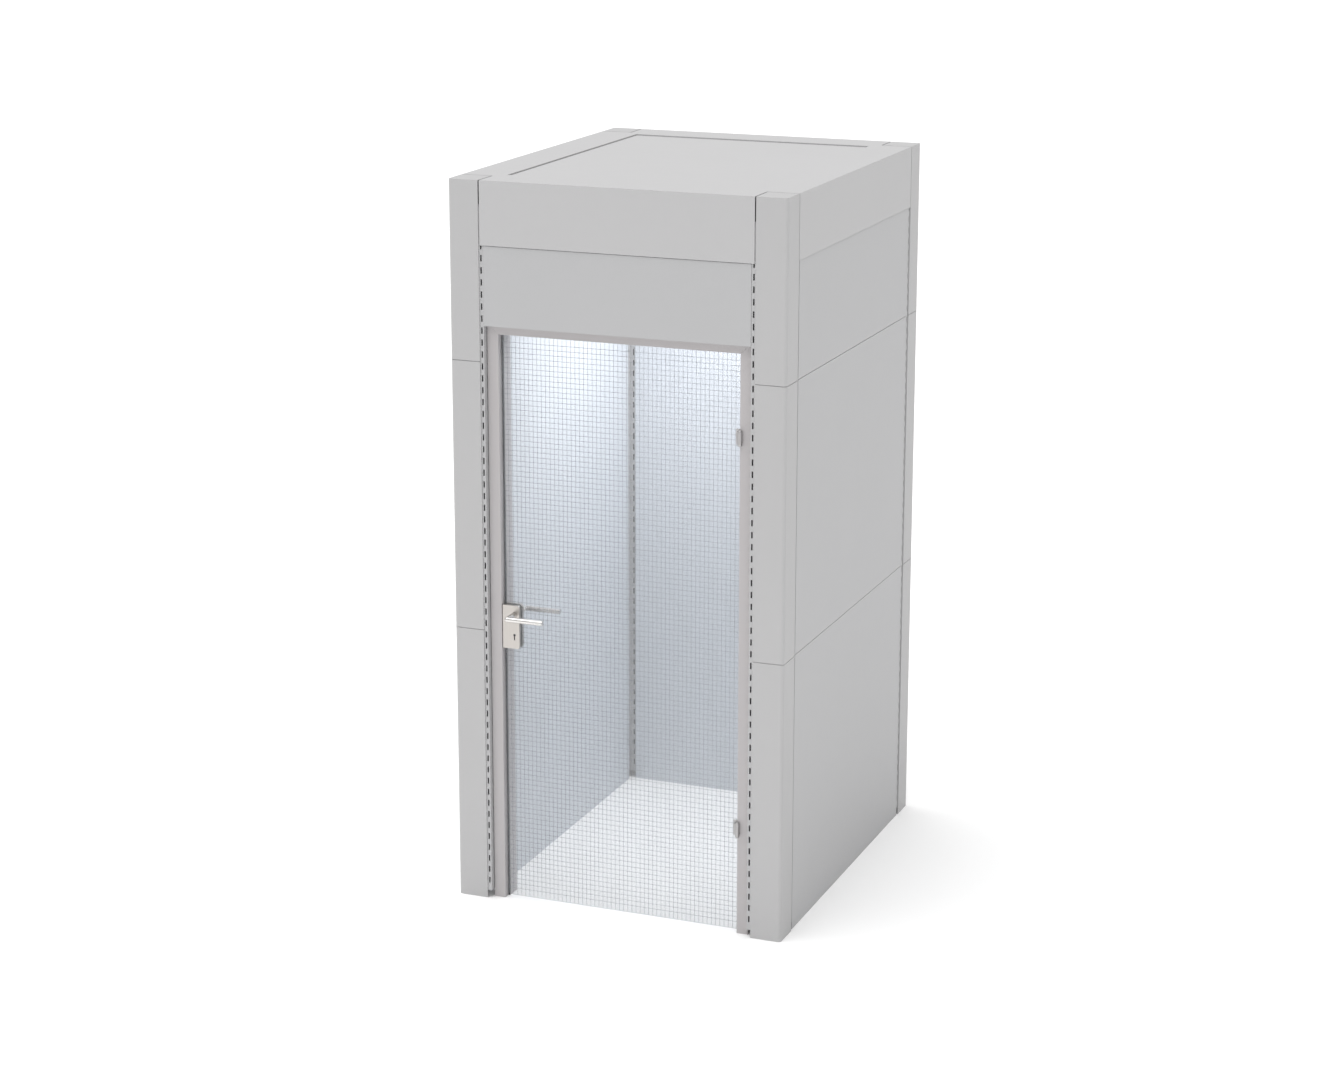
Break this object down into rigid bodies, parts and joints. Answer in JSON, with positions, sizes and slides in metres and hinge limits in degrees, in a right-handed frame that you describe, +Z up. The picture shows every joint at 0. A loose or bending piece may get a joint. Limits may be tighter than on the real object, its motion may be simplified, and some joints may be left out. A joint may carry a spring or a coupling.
{
  "type": "telephone booth",
  "caption": "Walk-in telephone booth of sheet-clad slotted corner rails with a patterned glass door, lever lock, open floor and a lit ceiling.",
  "frame": {"origin": "middle of the overall footprint, levers included, at floor level", "axes": "+Z up, the door faces -Y, +X to the right when facing the door"},
  "size_m": [1.1, 1.362, 2.325],
  "materials": {
    "cover_paint": "light grey powder coat, fine texture, satin",
    "panel_paint": "light grey powder coat, satin",
    "roof_paint": "light grey powder coat, satin",
    "upright_paint": "light grey powder coat on folded steel",
    "frame_paint": "warm grey powder coat on the door frame",
    "liner_paint": "cool white powder coat, satin",
    "ceiling_board": "matt white powder coat on the folded ceiling tray",
    "structure_steel": "primed steel, hidden in the walls",
    "light_lens": "opal diffuser",
    "door_glass": "clear toughened glass with a fine square line pattern",
    "lock_steel": "satin stainless steel",
    "lever_steel": "satin stainless steel",
    "hinge_steel": "satin stainless steel",
    "bolt_steel": "plain machined steel",
    "screw_zinc": "zinc plated",
    "seal_rubber": "black sealing rubber"
  },
  "bodies": {
    "booth": {"corner_tube_front_left": "upright_paint", "corner_tube_front_right": "upright_paint", "corner_tube_back_left": "upright_paint", "corner_tube_back_right": "upright_paint", "slotted_rail_front_left_face": "upright_paint", "slotted_rail_front_left_side": "upright_paint", "slotted_rail_front_right_face": "upright_paint", "slotted_rail_front_right_side": "upright_paint", "slotted_rail_back_left_face": "upright_paint", "slotted_rail_back_left_side": "upright_paint", "slotted_rail_back_right_face": "upright_paint", "slotted_rail_back_right_side": "upright_paint", "post_cover_front_left_lower": "cover_paint", "post_cover_front_left_middle": "cover_paint", "post_cover_front_left_upper": "cover_paint", "post_cover_front_right_lower": "cover_paint", "post_cover_front_right_middle": "cover_paint", "post_cover_front_right_upper": "cover_paint", "post_cover_back_left_lower": "cover_paint", "post_cover_back_left_middle": "cover_paint", "post_cover_back_left_upper": "cover_paint", "post_cover_back_right_lower": "cover_paint", "post_cover_back_right_middle": "cover_paint", "post_cover_back_right_upper": "cover_paint", "panel_left_lower": "panel_paint", "panel_left_middle": "panel_paint", "panel_left_upper": "panel_paint", "panel_right_lower": "panel_paint", "panel_right_middle": "panel_paint", "panel_right_upper": "panel_paint", "panel_back_lower": "panel_paint", "panel_back_middle": "panel_paint", "panel_back_upper": "panel_paint", "transom_panel": "panel_paint", "transom_liner": "liner_paint", "liner_left": "liner_paint", "liner_right": "liner_paint", "liner_back": "liner_paint", "bottom_rail_left": "structure_steel", "bottom_rail_right": "structure_steel", "bottom_rail_back": "structure_steel", "top_frame": "structure_steel", "roof_cap": "roof_paint", "roof_panel": "roof_paint", "ceiling_panel": "ceiling_board", "ceiling_light_housing": "ceiling_board", "ceiling_light_diffuser": "light_lens", "door_jamb_left": "frame_paint", "door_jamb_right": "frame_paint", "door_head": "frame_paint", "door_seal": "seal_rubber", "strike_plate": "bolt_steel", "hinge_frame_halves": "hinge_steel", "hinge_pins": "bolt_steel", "levelling_feet": "screw_zinc", "fixing_screws": "screw_zinc"},
    "door": {"glass_leaf": "door_glass", "lock_case_outside": "lock_steel", "lock_case_inside": "lock_steel", "lock_body": "bolt_steel", "hinge_door_halves": "hinge_steel", "hinge_nuts": "hinge_steel"},
    "handle": {"lever_outside": "lever_steel", "lever_inside": "lever_steel", "spindle": "bolt_steel"},
    "latch": {"latch_bolt": "bolt_steel"},
    "dead_bolt": {"deadbolt": "bolt_steel"}
  },
  "joints": [
    {"name": "door_hinge", "type": "hinge", "parent": "booth", "child": "door", "pos_m": [0.399, -0.63005, 0], "axis": [0, 0, 1], "range_deg": [0, 105]},
    {"name": "lever_turn", "type": "hinge", "parent": "door", "child": "handle", "pos_m": [-0.355, -0.5815, 0.953], "axis": [0, 1, 0], "range_deg": [0, 40], "stiffness_Nm_per_rad": 1.2, "springref_deg": -40.11},
    {"name": "latch_slide", "type": "slide", "parent": "door", "child": "latch", "axis": [-1, 0, 0], "range_m": [0, 0.012]},
    {"name": "deadbolt_slide", "type": "slide", "parent": "door", "child": "dead_bolt", "axis": [-1, 0, 0], "range_m": [0, 0.012]}
  ]
}
